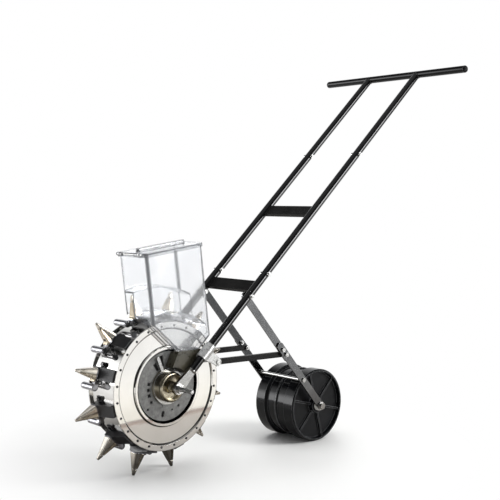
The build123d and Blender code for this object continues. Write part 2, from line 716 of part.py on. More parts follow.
def hopper_lid():
    """Clear lid with a locating ring under it, a long grip ridge and two hinge knuckles."""
    lid = hopper_slab(HOPPER_RIM, HOPPER_CORNER + HOPPER_RIM, HOPPER_RIM, GAP, LID_SHEET)
    inner = HOPPER_WALL + GAP
    ring = hopper_slab(-inner, HOPPER_CORNER - inner, -inner, -LID_RING, LID_RING + 2 * GAP)
    inner += HOPPER_WALL
    lid += ring - hopper_slab(-inner, HOPPER_CORNER - inner, -inner, -LID_RING, LID_RING + 2 * GAP)
    length, width, rise = RIDGE
    top = hopper_plane(LID_SHEET) * Pos(0, HOPPER_MID_Y)
    lid += extrude(top * SlotOverall(length, width), amount=rise, taper=10)
    for span in lug_spans()[1]:
        lid += hinge_knuckle(*span, True)
    return lid - hinge_bore(LID_PIN_R + RUN_FIT)


def lid_pin():
    x, z = hopper_point(HINGE_ALONG, HINGE_UP)
    near, far = lug_spans()[0][0][0], lug_spans()[0][1][1]
    return y_rod(LID_PIN_R, near - 2, far + 2, x, z)


def gate_lever():
    """Flat lever that turns on the hub and shuts the window in the seed plate."""
    blade = Circle(BARREL_R + LEVER_RING)
    blade += slot_bar(polar(BARREL_R, LEVER_ANGLE), polar(BARREL_R + LEVER_LENGTH - LEVER_WIDTH / 2, LEVER_ANGLE), LEVER_WIDTH)
    blade -= Circle(BARREL_R + RUN_FIT)
    return at_axle(y_plate(blade, LEVER_FACE - LEVER_SHEET, LEVER_FACE))


# Spiked wheel

def screw_places():
    """X and Z of the rim screws about the axle."""
    step = 360.0 / SCREW_COUNT
    return [polar(SCREW_CIRCLE, step * (i + 0.5)) for i in range(SCREW_COUNT)]


def disc_holes():
    """Screw holes through both rims."""
    return [y_rod(SCREW_R + SLIP, -RIM_HALF - 1, RIM_HALF + 1, x, z) for x, z in screw_places()]


def near_disc():
    """Dished ring with a flat screwed rim and a raised lip round its mouth."""
    face, back = -RIM_HALF + DISH, -RIM_HALF + DISH + DISC_SHEET
    band = RIM_R - RIM_BAND
    lip = MOUTH_R + LIP_WIDTH
    ring = turned((RIM_R, -RIM_HALF), (band, -RIM_HALF), (band - DISH, face), (lip + 2, face), (lip, face - LIP_RISE),
                  (MOUTH_R, face - LIP_RISE), (MOUTH_R, face - LIP_RISE + DISC_SHEET),
                  (lip - DISC_SHEET, face - LIP_RISE + DISC_SHEET), (lip - DISC_SHEET + 2, back), (band - DISH, back),
                  (band, -DRUM_HALF), (RIM_R, -DRUM_HALF))
    return at_axle(ring - disc_holes())


def far_disc():
    """Closed dished disc with the same screwed rim, round the wheel hub."""
    face, back = RIM_HALF - DISH, RIM_HALF - DISH - DISC_SHEET
    band = RIM_R - RIM_BAND
    bore = HUB_R + SEAT
    boss = 3 * HUB_R
    ring = turned((RIM_R, RIM_HALF), (RIM_R, DRUM_HALF), (band, DRUM_HALF), (band - DISH, back), (boss, back),
                  (boss - DISH, back + DISH), (bore, back + DISH), (bore, face + DISH), (boss - DISH, face + DISH),
                  (boss, face), (band - DISH, face), (band, RIM_HALF))
    return at_axle(ring - disc_holes())


def beak_angles():
    """Turn of each beak about the axle from straight up, so that two tips stand on the ground."""
    step = 360.0 / BEAK_COUNT
    return [step * (i + 0.5) for i in range(BEAK_COUNT)]


def around(shape):
    """One copy of a piece at every beak."""
    return [at_axle(Rot(0, angle, 0) * shape) for angle in beak_angles()]


def drum_shell():
    """Rim drum with inward flanges, a seed slot and a bolt hole under every beak."""
    inside = DRUM_R - DRUM_WALL
    lip = DRUM_R - DRUM_FLANGE
    half, flange = DRUM_HALF, DRUM_HALF - RIM_SHEET
    drum = turned((DRUM_R, -half), (lip, -half), (lip, -flange), (inside, -flange), (inside, flange), (lip, flange),
                  (lip, half), (DRUM_R, half))
    px, py = PASSAGE
    slot = Pos(0, BEAK_Y, DRUM_R) * Box(px, py, 40)
    hole = Pos(flange_bolt_x(), BEAK_Y, DRUM_R) * Cylinder(BOLT_R + SLIP, 40)
    cuts = [Rot(0, angle, 0) * cut for angle in beak_angles() for cut in (slot, hole)]
    return at_axle(drum - cuts - disc_holes())


def wheel_hub():
    """Hub tube through the wheel, with a stout end on the far side."""
    hub = turned((HUB_BORE, HUB_START), (HUB_R, HUB_START), (HUB_R, RIM_HALF), (HUB_R + 8, RIM_HALF),
                 (HUB_R + 6, HUB_END), (HUB_BORE, HUB_END))
    return at_axle(hub)


def wheel_bearings():
    """Bearing at each end of the hub tube."""
    ring = Circle(HUB_BORE - SEAT) - Circle(AXLE_R + RUN_FIT)
    near = y_plate(ring, HUB_START, HUB_START + BEARING_WIDTH)
    far = y_plate(ring, HUB_END - BEARING_WIDTH, HUB_END)
    return [at_axle(near), at_axle(far)]


def metering_wheel():
    """Disc with a seed pocket for every beak, on the hub tube inside the plate's skirt."""
    disc = Circle(METER_R) - Circle(HUB_R + SEAT)
    for angle in beak_angles():
        disc -= Pos(*polar(METER_R, angle)) * Circle(7)
    start = HUB_START + GAP
    return at_axle(y_plate(disc, start, start + METER_WIDTH))


def seed_divider():
    """Back plate with a radial vane between every two beaks."""
    out = DRUM_R - DRUM_WALL - SEAT
    stop = RIM_HALF - DISH - DISC_SHEET - GAP - RIM_SHEET
    start = PLATE_SHEET + SKIRT_DEPTH + GAP - PLATE_FACE + 2 * GAP
    back = y_plate(Circle(out) - Circle(HUB_R + SEAT), stop - DIVIDER_SHEET, stop)
    for i in range(BEAK_COUNT):
        vane = block(-DIVIDER_SHEET / 2, DIVIDER_SHEET / 2, start, stop, DIVIDER_IN, out - GAP)
        back += Rot(0, 360.0 / BEAK_COUNT * i, 0) * vane
    return at_axle(back)


def rim_screws():
    """Pan-head screws round both rims."""
    head = y_rod(SCREW_HEAD_R, -RIM_HALF - SCREW_HEAD, -RIM_HALF)
    screw = chamfer(head.edges().sort_by(Axis.Y)[0], 0.7)
    screw += y_rod(SCREW_R, -RIM_HALF, -DRUM_HALF + RIM_SHEET)
    screws = []
    for x, z in screw_places():
        near = Pos(x, 0, AXLE_Z + z) * screw
        screws += [near, mirrored(near)]
    return screws


# Seed beaks

def beak_solid(inset, top):
    """Four-sided taper from the beak's base toward its tip, moved in by a wall for the inside."""
    share = (top - BEAK_BASE) / (TIP_R - BEAK_BASE)
    sizes = []
    for at in (0.0, share):
        length = BEAK_LENGTH_T + at * (BEAK_TIP - BEAK_LENGTH_T) - 2 * inset
        width = BEAK_WIDTH_Y + at * (BEAK_TIP - BEAK_WIDTH_Y) - 2 * inset
        corner = BEAK_CORNER + at * (TIP_CORNER - BEAK_CORNER)
        sizes.append(RectangleRounded(length, width, corner))
    base = Plane.XY.offset(BEAK_BASE) * Pos(0, BEAK_Y) * sizes[0]
    tip = Plane.XY.offset(top) * Pos(0, BEAK_Y) * sizes[1]
    return loft([base, tip], ruled=True)


def beak_shell():
    """Hollow beak with a solid nose."""
    return beak_solid(0, TIP_R) - beak_solid(BEAK_WALL, TIP_R - NOSE)


def leading_space(edge, low, high):
    """Space on the leading side of a plane across the beak."""
    far = BEAK_LENGTH_T
    return block(-far, edge, BEAK_Y - far, BEAK_Y + far, low, high)


def fixed_beak():
    """Trailing half of the beak with the whole nose."""
    return beak_shell() - leading_space(SPLIT, BEAK_BASE - 1, TIP_R - NOSE + GAP)


def moving_beak():
    """Leading half of the beak with its hinge knuckle, arm and press bar."""
    half = beak_shell() & leading_space(SPLIT - GAP, BEAK_BASE + GAP, TIP_R - NOSE - SWING_CLEAR)
    wide = BEAK_WIDTH_Y / 2 - EAR + 1 - GAP
    clear = -HOLDER_LEAD - GAP
    web = Polygon((PIN_X - KNUCKLE_R, PIN_U), (PIN_X, BEAK_BASE + 5), (clear, BEAK_BASE + 5), (clear, PIN_U), align=None)
    web += Pos(PIN_X, PIN_U) * Circle(KNUCKLE_R)
    half += y_plate(web, BEAK_Y - wide, BEAK_Y + wide)
    arm = Polygon((PIN_X, PIN_U + KNUCKLE_R), (PIN_X, PIN_U - KNUCKLE_R), (BAR_X, BAR_U - BAR_R), (BAR_X, BAR_U + BAR_R),
                  align=None)
    half += y_plate(arm, BEAK_Y - ARM_WIDTH / 2, BEAK_Y + ARM_WIDTH / 2)
    bar = y_rod(BAR_R, BEAK_Y - ARM_WIDTH / 2, BAR_END, BAR_X, BAR_U)
    half += fillet(bar.edges().sort_by(Axis.Y)[-1], BAR_R * 0.6)
    return half - y_rod(PIN_R + RUN_FIT, BEAK_Y - BEAK_WIDTH_Y, BEAK_Y + BEAK_WIDTH_Y, PIN_X, PIN_U)


def flange_bolt_x():
    """X of the bolt through the holder's trailing flange."""
    return HOLDER_TRAIL + FLANGE_REACH / 2


def flange_top():
    """Height of the holder's trailing flange above the axle."""
    return sqrt(DRUM_R ** 2 - flange_bolt_x() ** 2) + FLANGE_HEIGHT


def beak_holder():
    """Cast foot on the drum that carries one beak, with hinge ears in front and a bolted flange behind."""
    near, far = -HOLDER_NEAR, BEAK_Y + HOLDER_FAR
    low = DRUM_R - 15
    shape = Polygon((near, low), (far, low), (far, BEAK_BASE), (BEAK_Y - BEAK_WIDTH_Y / 2 - 2, BEAK_BASE),
                    (near, BEAK_BASE - HOLDER_SLOPE), align=None)
    body = extrude(Plane.YZ.offset(-HOLDER_LEAD) * shape, amount=HOLDER_LEAD + HOLDER_TRAIL)
    body = fillet(body.edges().filter_by(Axis.Z), 3)
    width = BEAK_WIDTH_Y / 3
    body += block(0, HOLDER_TRAIL + FLANGE_REACH, BEAK_Y - width, BEAK_Y + width, low, flange_top())
    ear = Polygon((PIN_X, PIN_U + KNUCKLE_R), (PIN_X, PIN_U - KNUCKLE_R), (0, PIN_U - KNUCKLE_R - 3),
                  (0, PIN_U + KNUCKLE_R), align=None) + Pos(PIN_X, PIN_U) * Circle(KNUCKLE_R)
    reach = BEAK_WIDTH_Y / 2 + 1
    for y in (BEAK_Y - reach, BEAK_Y + reach - EAR):
        body += y_plate(ear, y, y + EAR)
    px, py = PASSAGE
    body -= Pos(0, BEAK_Y, DRUM_R) * Box(px, py, BEAK_BASE)
    body -= Pos(flange_bolt_x(), BEAK_Y, DRUM_R) * Cylinder(BOLT_R + SLIP, 40)
    body -= y_rod(PIN_R + SEAT, BEAK_Y - 2 * reach, BEAK_Y + 2 * reach, PIN_X, PIN_U)
    return body - y_rod(DRUM_R + SEAT, -RIM_HALF, RIM_HALF)


def holder_bolt():
    """Bolt down through the holder's flange into the drum."""
    top = flange_top()
    head = extrude(Plane.XY.offset(top) * RegularPolygon(BOLT_HEAD_R, 6), amount=BOLT_HEAD)
    shank = extrude(Plane.XY.offset(DRUM_R - 10) * Circle(BOLT_R), amount=top - DRUM_R + 10)
    return Pos(flange_bolt_x(), BEAK_Y, 0) * (head + shank)


def hinge_pin():
    reach = BEAK_WIDTH_Y / 2 + 2
    return y_rod(PIN_R, BEAK_Y - reach, BEAK_Y + reach, PIN_X, PIN_U)


# Press roller

def roller_half():
    """Far half of the hollow roller: a wide band, a valley up to the middle ridge, and a spoked recess."""
    r, half, wall = ROLLER_R, ROLLER_HALF, ROLLER_WALL
    inner = half - ROLLER_BAND
    valley, ridge = r - ROLLER_VALLEY, r - ROLLER_RIDGE
    floor = half - ROLLER_RECESS
    bore = BUSH_R + SEAT
    body = turned((ridge, 0), (ridge, 3), (valley, 6), (valley, inner - 5), (r, inner), (r, half - 3), (r - 3, half),
                  (r - ROLLER_RIM, half), (r - ROLLER_RIM - 2, floor), (ROLLER_HUB_R + 2, floor),
                  (ROLLER_HUB_R, half), (bore, half), (bore, 0), (ROLLER_HUB_R, 0), (ROLLER_HUB_R, floor - wall),
                  (r - wall, floor - wall), (r - wall, inner + 2), (valley - wall, inner - 3), (valley - wall, 0))
    for i in range(SPOKES):
        spoke = block(ROLLER_HUB_R - 1, r - ROLLER_RIM, floor - 1, floor + SPOKE_RISE, -SPOKE_WIDTH / 2, SPOKE_WIDTH / 2)
        body += Rot(0, 360.0 / SPOKES * i + SPOKE_TURN, 0) * spoke
    return Pos(ROLLER_X, 0, ROLLER_R) * body


def roller_bushes():
    """Flanged bush in each end of the roller."""
    half = ROLLER_HALF
    out = STRUT_OUT - GAP
    bush = turned((ROLLER_AXLE_R + RUN_FIT, half - BUSH_DEPTH), (BUSH_R, half - BUSH_DEPTH), (BUSH_R, half),
                  (BUSH_FLANGE_R, half), (BUSH_FLANGE_R, out), (ROLLER_AXLE_R + RUN_FIT, out))
    bush = Pos(ROLLER_X, 0, ROLLER_R) * bush
    return [bush, mirrored(bush)]


def all_pieces():
    """Every piece by name, in place about the ground point under the front axle."""
    bolts, nuts = frame_fasteners()
    pieces = {"handle_bar": handle_bar(), "handle_bar_plugs": end_plugs()}
    for side, y in (("near", -TUBE_Y), ("far", TUBE_Y)):
        pieces["upper_tube_" + side] = upper_tube(y)
        pieces["middle_tube_" + side] = middle_tube(y)
        pieces["lower_tube_" + side] = lower_tube(y)
    pieces["upper_crossbar"] = crossbar(UPPER_CROSSBAR)
    pieces["lower_crossbar"] = crossbar(LOWER_CROSSBAR)
    pieces["frame_bolts"] = bolts + clamp_rivets()
    pieces["frame_nuts"] = nuts
    paired = {"axle_lug": axle_lug(), "tube_clamp": tube_clamp(), "link_bar": link_bar(),
              "upper_strut": upper_strut(), "lower_strut": lower_strut()}
    for name, piece in paired.items():
        pieces[name + "_near"] = piece
        pieces[name + "_far"] = mirrored(piece)
    pieces |= {"scraper_rod": scraper_rod(), "front_axle": front_axle(),
               "axle_nuts": axle_nuts() + axle_spacers() + roller_nuts(), "roller_axle": roller_axle()}
    pieces |= {"seed_plate": seed_plate(), "seed_hub": seed_hub(), "inlet_elbow": inlet_elbow(),
               "seed_hopper": seed_hopper(), "hopper_lid": hopper_lid(), "lid_pin": lid_pin(),
               "gate_lever": gate_lever()}
    pieces |= {"near_disc": near_disc(), "far_disc": far_disc(), "drum_shell": drum_shell(),
               "wheel_hub": wheel_hub(), "wheel_bearings": wheel_bearings(), "metering_wheel": metering_wheel(),
               "seed_divider": seed_divider(), "rim_screws": rim_screws()}
    pieces |= {"beak_holders": around(beak_holder()), "holder_bolts": around(holder_bolt()),
               "fixed_beaks": around(fixed_beak()), "hinge_pins": around(hinge_pin())}
    for i, beak in enumerate(around(moving_beak())):
        pieces[f"moving_beak_{i + 1:02d}"] = beak
    far_half = roller_half()
    pieces |= {"roller_near": mirrored(far_half), "roller_far": far_half, "roller_bushes": roller_bushes()}
    return pieces


def solids_of(piece):
    """The solids of a piece or of a list of pieces."""
    return [solid for part in (piece if isinstance(piece, list) else [piece]) for solid in part.solids()]


pieces = {name: Compound(children=solids_of(piece)) for name, piece in all_pieces().items()}
box = Compound(children=[Compound(piece.wrapped) for piece in pieces.values()]).bounding_box()
ORIGIN = Pos(-(box.min.X + box.max.X) / 2, -(box.min.Y + box.max.Y) / 2, -box.min.Z)
os.makedirs("parts", exist_ok=True)
for name, piece in pieces.items():
    export_step(ORIGIN * piece, f"parts/{name}.step")
print("pieces", len(pieces), "size", box.size, "origin", ORIGIN.position)
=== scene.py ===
import json
from math import cos, pi, radians, sin, sqrt
import bmesh
import bpy
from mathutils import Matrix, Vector


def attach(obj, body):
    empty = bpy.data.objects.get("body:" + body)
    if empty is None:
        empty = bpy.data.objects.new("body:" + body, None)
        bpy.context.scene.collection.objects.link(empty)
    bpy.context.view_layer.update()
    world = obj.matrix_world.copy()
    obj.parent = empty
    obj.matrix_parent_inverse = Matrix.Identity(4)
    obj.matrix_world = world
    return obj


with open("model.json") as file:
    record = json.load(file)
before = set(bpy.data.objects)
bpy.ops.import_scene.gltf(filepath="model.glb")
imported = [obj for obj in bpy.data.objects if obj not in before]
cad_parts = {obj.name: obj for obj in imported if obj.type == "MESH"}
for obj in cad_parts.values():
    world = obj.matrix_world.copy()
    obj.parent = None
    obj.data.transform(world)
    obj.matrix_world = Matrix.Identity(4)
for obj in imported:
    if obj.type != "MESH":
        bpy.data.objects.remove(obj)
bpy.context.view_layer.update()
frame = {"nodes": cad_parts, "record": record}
scene = bpy.context.scene

# Places and directions in the shared frame, in metres
AXLE = Vector((-0.338891, 0.0, 0.211219))
HANDLE = Vector((0.540109, 0.0, 0.998))
ALONG = (HANDLE - AXLE).normalized()
ACROSS = Vector((0.0, 1.0, 0.0))
UP = ALONG.cross(ACROSS)

# Sizes of the CAD that details and materials follow, in metres
TUBE_R, TUBE_Y = 0.010, 0.088
CROSSBARS = (0.327, 0.600)                     # from the axle, along the tubes
CROSSBAR_HALF, CROSSBAR_FACE = 0.0165, 0.0015
SCREW_COUNT, SCREW_CIRCLE, SCREW_FACE = 24, 0.1415, 0.0516    # the heads' faces lie at this Y
BEAK_COUNT = 12
PRESS_BAR_R = (0.1665, 0.1675)                 # the press bars lie inside this radius, the beaks outside
PRESS_ARM = (-0.148, -0.131)                   # angles behind the beak's middle, in radians
DRUM_INSIDE = (0.1433, 0.1442)                 # radii between the drum's inner and outer face
NEAR_STEPS, FAR_STEPS = (0.1334, 0.0942), (0.1334, 0.0602)    # radii where the discs step
LID_TILT, LID_TOP = radians(7.0), 0.5689       # the lid's top, measured square to the lid
GRIP_FOOT = (0.0, 0.0004, 0.0014, 0.0024)      # rises where the painted shade line at the grip's foot starts, is full, fades and ends
GRIP_CREST = (0.0050, 0.0064)

# Modelled detail, in metres
HANDLE_BEAD, CROSSBAR_BEAD = (0.0017, 26), (0.0015, 13)    # size and drops of metal
BEAD_SIDES, BEAD_LOW, BEAD_SWELL = 8, 0.86, 0.26
HANDLE_WELD_POINTS, CROSSBAR_WELD_HALF = 96, 24
AXLE_THREADS = ((0.0050, -0.1230, -0.1055), (0.0060, 0.1030, 0.1108))    # radius, start and stop
THREAD_PITCH, THREAD_HEIGHT, THREAD_FLANK, THREAD_STEPS = 0.0015, 0.0003, 0.46, 24
CROSS_ARM, CROSS_HALF, CROSS_DEPTHS = 0.0014, 0.0003, (-0.0004, 0.00006)
CROSS_TURN = 2.4                               # radians from one screw's cross to the next

# Numbers of the materials
NOISE_LOW, NOISE_HIGH = 0.3, 0.7               # most of a noise lies between these
BEVEL_SAMPLES = 4
EDGE_COSINES = (0.80, 0.98)                    # of the turn at an edge, from the full mask to none
# Painted shade on upright corners of clear plastic: the facing over which it comes in, and its strength
CORNER_FACING, CORNER_DARK = (0.20, 0.48), 0.8
END_FACING, END_DULL = (0.6, 0.95), 0.42       # the roller's ends, and the roughness they add
DISC_TURNING, HUB_TURNING = 5200.0, 6400.0     # radians of tool marks per metre
STEP_LINE = (0.0005, 0.0014)                   # from the full to the outer half width of the painted shade line at a disc's step


# Node helpers

def put(tree, value, socket):
    """Link a socket, or set a plain value or colour."""
    if isinstance(value, bpy.types.NodeSocket):
        tree.links.new(value, socket)
    elif socket.type == "RGBA":
        socket.default_value = (*value, 1.0)
    else:
        socket.default_value = value


def add_node(tree, kind, *inputs, operation=None, **named):
    """New node, with inputs in order or by their names, with _ for a space."""
    node = tree.nodes.new("ShaderNode" + kind)
    if operation:
        node.operation = operation
    for value, socket in zip(inputs, node.inputs):
        put(tree, value, socket)
    for name, value in named.items():
        put(tree, value, node.inputs[name.replace("_", " ")])
    return node


class Shader:
    """Small builder for one node material."""

    def __init__(self, name):
        self.material = bpy.data.materials.new(name)
        self.material.use_nodes = True
        self.tree = self.material.node_tree
        self.base = self.tree.nodes["Principled BSDF"]
        self.end = self.tree.nodes["Material Output"].inputs
        self.place = self.node("TexCoord").outputs["Object"]

    def node(self, kind, *inputs, **named):
        """New node of this material."""
        return add_node(self.tree, kind, *inputs, **named)

    def set(self, **values):
        """Set inputs of the main shader by their names, with _ for a space."""
        for name, value in values.items():
            put(self.tree, value, self.base.inputs[name.replace("_", " ")])

    def blend(self, fac, other):
        """Mix the main shader with another and send the result to the surface."""
        join = self.node("MixShader", fac, self.base.outputs[0], other.outputs[0])
        put(self.tree, join.outputs[0], self.end["Surface"])

    def math(self, kind, *values):
        """Math node over numbers or sockets."""
        return self.node("Math", *values, operation=kind).outputs[0]

    def length(self, a, b):
        """Length of the diagonal over two sides."""
        return self.math("SQRT", self.math("ADD", self.math("MULTIPLY", a, a), self.math("MULTIPLY", b, b)))

    def noise(self, scale, detail=3.0, rough=0.55, stretch=(1, 1, 1)):
        """Noise over the surface, with its scale times a stretch along each axis."""
        place = self.node("Mapping", Vector=self.place, Scale=stretch).outputs[0]
        return self.node("TexNoise", Vector=place, Scale=scale, Detail=detail, Roughness=rough).outputs["Fac"]

    def ramp(self, fac, *stops):
        """Colour ramp from (place, colour) stops."""
        node = self.node("ValToRGB", fac)
        points = node.color_ramp.elements
        while len(points) < len(stops):
            points.new(1.0)
        for point, (at, colour) in zip(points, stops):
            point.position = at
            point.color = (*colour, 1.0)
        return node.outputs["Color"]

    def tone(self, fac, dark, light, low=NOISE_LOW, high=NOISE_HIGH):
        """Colour between two tones, over the usual spread of a noise."""
        return self.ramp(fac, (low, dark), (high, light))

    def span(self, fac, low, high, start=0.0, stop=1.0):
        """A number carried from start..stop to low..high, held at its ends."""
        return self.node("MapRange", fac, start, stop, low, high).outputs[0]

    def vary(self, fac, low, high):
        """Number between two values, over the usual spread of a noise."""
        return self.span(fac, low, high, NOISE_LOW, NOISE_HIGH)

    def mix(self, fac, a, b):
        """Colour mix."""
        node = self.node("Mix", fac)
        node.data_type = "RGBA"
        for value, socket in zip((a, b), [s for s in node.inputs if s.type == "RGBA"]):
            put(self.tree, value, socket)
        return next(s for s in node.outputs if s.type == "RGBA")

    def bevel(self, radius):
        """Normal that is rounded off along edges."""
        node = self.node("Bevel", radius)
        node.samples = BEVEL_SAMPLES
        return node.outputs[0]

    def bump(self, height, strength, distance=0.0002, soften=0.0006):
        """Fine relief on a surface with its edges softened."""
        node = self.node("Bump", Strength=strength, Distance=distance, Height=height)
        if soften:
            put(self.tree, self.bevel(soften), node.inputs["Normal"])
        self.set(Normal=node.outputs[0])

    def split(self, centre=(0.0, 0.0, 0.0)):
        """X, Y and Z from a centre."""
        away = self.node("VectorMath", self.place, centre, operation="SUBTRACT").outputs[0]
        return self.node("SeparateXYZ", away).outputs

    def radius(self, centre):
        """Distance from an axle along Y."""
        x, _, z = self.split(centre)
        return self.length(x, z)

    def radius_flat(self, x, y=0.0):
        """Distance from an upright line."""
        x, y, _ = self.split((x, y, 0.0))
        return self.length(x, y)

    def facing(self, node):
        """How far the surface faces along X, Y and Z, either way, by a node's normal."""
        ways = self.node("SeparateXYZ", self.node(node).outputs["Normal"]).outputs
        return [self.math("ABSOLUTE", way) for way in ways]

    def corner(self):
        """Mask on upright rounded corners, where the surface faces between lengthways and crossways."""
        x, y, _ = self.facing("NewGeometry")
        return self.span(self.math("MULTIPLY", x, y), 0.0, CORNER_DARK, *CORNER_FACING)

    def edge_mask(self, amount, radius=0.0012):
        """Mask along edges, from the angle between the bevelled and the true normal."""
        true = self.node("NewGeometry").outputs["Normal"]
        same = self.node("VectorMath", self.bevel(radius), true, operation="DOT_PRODUCT").outputs["Value"]
        return self.span(same, amount, 0.0, *EDGE_COSINES)


# Materials

def plain(name, cloud, dark, light, rough, grain, relief, **fixed):
    """Paint, plastic or small blackened parts: tone and gloss drift in clouds, over a fine grain."""
    s = Shader(name)
    drift = s.noise(*cloud)
    s.set(Base_Color=s.tone(drift, dark, light), Roughness=s.vary(drift, *rough), **fixed)
    s.bump(s.noise(*grain), relief)
    return s.material


def black_paint(name, shine):
    """Gloss enamel on tube, with orange peel."""
    s = Shader(name)
    cloud = s.noise(26.0, 4.0)
    s.set(Base_Color=s.tone(cloud, (0.0015, 0.0015, 0.002), (0.005, 0.005, 0.005), 0.35, 0.75),
          Roughness=s.vary(cloud, 0.06, 0.12), Specular_IOR_Level=shine)
    s.bump(s.noise(240.0, 2.0), 0.02)
    return s.material


def black_plastic():
    """Moulded plastic of the roller: flow marks, fine scuffs, edges painted lighter as a highlight, gloss tread and
    rougher ends.
    """
    s = Shader("black_plastic")
    flow = s.noise(14.0, 5.0, 0.6, (1, 4, 1))
    scuff = s.noise(60.0, 3.0, 0.7, (1, 6, 1))
    body = s.tone(flow, (0.0025, 0.0027, 0.003), (0.007, 0.0075, 0.009))
    end = s.span(s.facing("TexCoord")[1], 0.0, END_DULL, *END_FACING)
    gloss = s.span(scuff, 0.09, 0.17, 0.35, 0.7)
    # Painted highlight: the edges are mixed towards light grey; the ends only get rougher.
    s.set(Base_Color=s.mix(s.edge_mask(0.75, 0.0022), body, (0.24, 0.245, 0.25)), Specular_IOR_Level=0.20,
          Roughness=s.math("ADD", gloss, end))
    s.bump(scuff, 0.02)
    return s.material


def steel(name, dark, light, rough, grain=160.0, stretch=(1, 1, 1), peel=0.002, metal=1.0):
    """Bare or plated steel: cloudy tone, grain along one way, edges painted bright as a highlight, and a fine bump.
    """
    s = Shader(name)
    cloud = s.noise(38.0, 5.0, 0.6)
    lines = s.noise(grain, 4.0, 0.65, stretch)
    shade = s.math("ADD", s.math("MULTIPLY", cloud, 0.75), s.math("MULTIPLY", lines, 0.25))
    # Painted highlight: the edges are mixed towards pale grey.
    s.set(Base_Color=s.mix(s.edge_mask(0.7, 0.0009), s.tone(shade, dark, light), (0.74, 0.74, 0.73)),
          Metallic=metal, Roughness=s.vary(lines, *rough))
    s.bump(lines, peel)
    return s.material


def polished_steel(name, steps):
    """Mirror-polished disc with faint turning marks, and painted shade darkening its edges and the rings where it
    steps.
    """
    s = Shader(name)
    r = s.radius(AXLE)
    rings = s.math("SINE", s.math("MULTIPLY", r, DISC_TURNING))
    cloud = s.noise(18.0, 4.0)
    bright = s.tone(cloud, (0.86, 0.845, 0.81), (0.93, 0.915, 0.88))
    # Painted shade: dark lines along the disc's edges and round its steps.
    edge_step_shade = s.edge_mask(1.0, 0.0028)
    for step in steps:
        apart = s.math("ABSOLUTE", s.math("SUBTRACT", r, step))
        edge_step_shade = s.math("MAXIMUM", edge_step_shade, s.span(apart, 0.9, 0.0, *STEP_LINE))
    s.set(Base_Color=s.mix(edge_step_shade, bright, (0.05, 0.048, 0.045)), Metallic=1.0,
          Roughness=s.span(s.math("ADD", cloud, s.math("MULTIPLY", rings, 0.12)), 0.02, 0.07, 0.2, 0.8))
    s.bump(rings, 0.008, 0.0001)
    return s.material


def drum_steel():
    """Drum shell: polished outside, rough inside, where painted shade makes the steel dark."""
    s = Shader("drum_steel")
    inside = s.span(s.radius(AXLE), 1.0, 0.0, *DRUM_INSIDE)
    cloud = s.noise(18.0, 4.0)
    bright = s.tone(cloud, (0.74, 0.73, 0.71), (0.84, 0.83, 0.80))
    inside_shade = s.tone(cloud, (0.035, 0.034, 0.032), (0.075, 0.073, 0.07))
    # Painted shade: inside the drum the steel is made near black.
    s.set(Base_Color=s.mix(inside, bright, inside_shade), Metallic=1.0, Roughness=s.span(inside, 0.04, 0.5))
    s.bump(s.noise(300.0, 3.0), 0.01)
    return s.material


def beak_steel(name, dark, light):
    """Bronze-toned pressed steel of the beaks, with painted shade darkening the edges; press bars and their arms
    are grey steel.
    """
    s = Shader(name)
    x, _, z = s.split(AXLE)
    step = 2 * pi / BEAK_COUNT
    angle = s.math("WRAP", s.math("SUBTRACT", s.math("ARCTAN2", x, z), step / 2), step / 2, -step / 2)
    bar = s.math("MAXIMUM", s.span(s.radius(AXLE), 1.0, 0.0, *PRESS_BAR_R), s.span(angle, 1.0, 0.0, *PRESS_ARM))
    cloud = s.noise(60.0, 5.0, 0.6)
    bronze = s.tone(cloud, dark, light, 0.28, 0.72)
    grey = s.tone(cloud, (0.27, 0.27, 0.29), (0.42, 0.42, 0.44))
    rub = s.noise(260.0, 3.0, 0.65)
    # Painted shade: the edges are mixed towards dark brown.
    s.set(Base_Color=s.mix(s.edge_mask(0.8, 0.0022), s.mix(bar, bronze, grey), (0.10, 0.085, 0.065)),
          Metallic=1.0, Roughness=s.vary(rub, 0.05, 0.13))
    s.bump(rub, 0.02, soften=0.006)
    return s.material


def black_cast():
    """Black enamelled casting with sand texture and lighter edges."""
    s = Shader("black_cast")
    sand = s.noise(620.0, 4.0, 0.6)
    body = s.tone(sand, (0.006, 0.006, 0.007), (0.02, 0.02, 0.021))
    s.set(Base_Color=s.mix(s.edge_mask(0.8), body, (0.10, 0.10, 0.10)),
          Roughness=s.vary(sand, 0.24, 0.44), Specular_IOR_Level=0.6)
    s.bump(sand, 0.16, 0.0004)
    return s.material


def grip_lines(s, dark):
    """Mask on the foot and the crest of the lid's grip ridge, where shade is painted."""
    x, _, z = s.split()
    up = s.math("SUBTRACT", s.math("MULTIPLY", z, cos(LID_TILT)), s.math("MULTIPLY", x, sin(LID_TILT)))
    start, full, last, end = [LID_TOP + rise for rise in GRIP_FOOT]
    foot = s.math("MULTIPLY", s.span(up, 0.0, dark, start, full), s.span(up, 1.0, 0.0, last, end))
    crest = s.span(up, 0.0, dark, *[LID_TOP + rise for rise in GRIP_CREST])
    return s.math("MAXIMUM", foot, crest)


